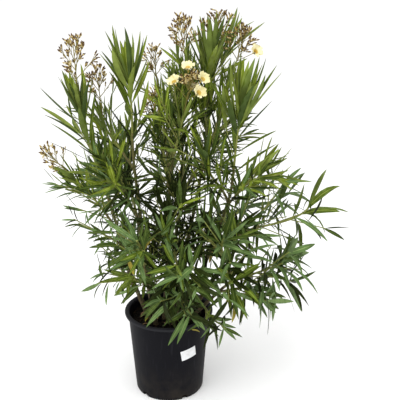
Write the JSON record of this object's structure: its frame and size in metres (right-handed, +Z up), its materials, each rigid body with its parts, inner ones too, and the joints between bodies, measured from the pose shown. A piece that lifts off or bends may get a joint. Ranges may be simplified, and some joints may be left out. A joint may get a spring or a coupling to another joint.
{
  "type": "potted oleander shrub",
  "caption": "Bushy oleander shrub in a round black nursery pot: fanned canes with whorls of long narrow leaves, sprays of buds and a few pale open flowers.",
  "frame": {"origin": "middle of the pot's flat underside", "axes": "+Z up, +X to the plant's right and +Y to its back, seen from the front"},
  "size_m": [0.9205, 0.7747, 1.1904],
  "materials": {
    "pot": "matte black moulded plastic",
    "soil": "dark crumbly potting soil",
    "sticker": "bare white film",
    "cane": "smooth grey-green bark",
    "foliage": "leathery leaves"
  },
  "bodies": {
    "root": {"cane_back": "cane", "cane_back_left": "cane", "cane_back_right": "cane", "cane_centre": "cane", "cane_centre_back": "cane", "cane_far_left": "cane", "cane_far_right": "cane", "cane_front": "cane", "cane_front_left": "cane", "cane_low_left": "cane", "cane_low_right": "cane", "cane_right": "cane", "cane_tall_left": "cane", "foliage_back_bottom": "foliage", "foliage_back_left_low": "foliage", "foliage_back_left_tall": "foliage", "foliage_back_low": "foliage", "foliage_back_right": "foliage", "foliage_back_right_low": "foliage", "foliage_back_right_tall": "foliage", "foliage_back_tall": "foliage", "foliage_centre": "foliage", "foliage_centre_flowers": "foliage", "foliage_front": "foliage", "foliage_front_left": "foliage", "foliage_front_left_low": "foliage", "foliage_front_low": "foliage", "foliage_front_right": "foliage", "foliage_front_right_low": "foliage", "foliage_left_back": "foliage", "foliage_left_bottom": "foliage", "foliage_left_buds": "foliage", "foliage_left_fill": "foliage", "foliage_left_inner": "foliage", "foliage_left_low": "foliage", "foliage_left_low_buds": "foliage", "foliage_left_mid": "foliage", "foliage_low_centre": "foliage", "foliage_low_inner": "foliage", "foliage_low_inner_left": "foliage", "foliage_mid_left": "foliage", "foliage_mid_left_low": "foliage", "foliage_middle": "foliage", "foliage_pot_side": "foliage", "foliage_right_bottom": "foliage", "foliage_right_far": "foliage", "foliage_right_inner": "foliage", "foliage_right_low": "foliage", "foliage_right_mid": "foliage", "foliage_right_upper": "foliage", "foliage_tall_left": "foliage", "foliage_tall_right": "foliage", "foliage_top": "foliage", "foliage_top_left": "foliage", "foliage_top_right": "foliage", "pot": "pot", "soil": "soil", "sticker": "sticker"}
  },
  "joints": []
}
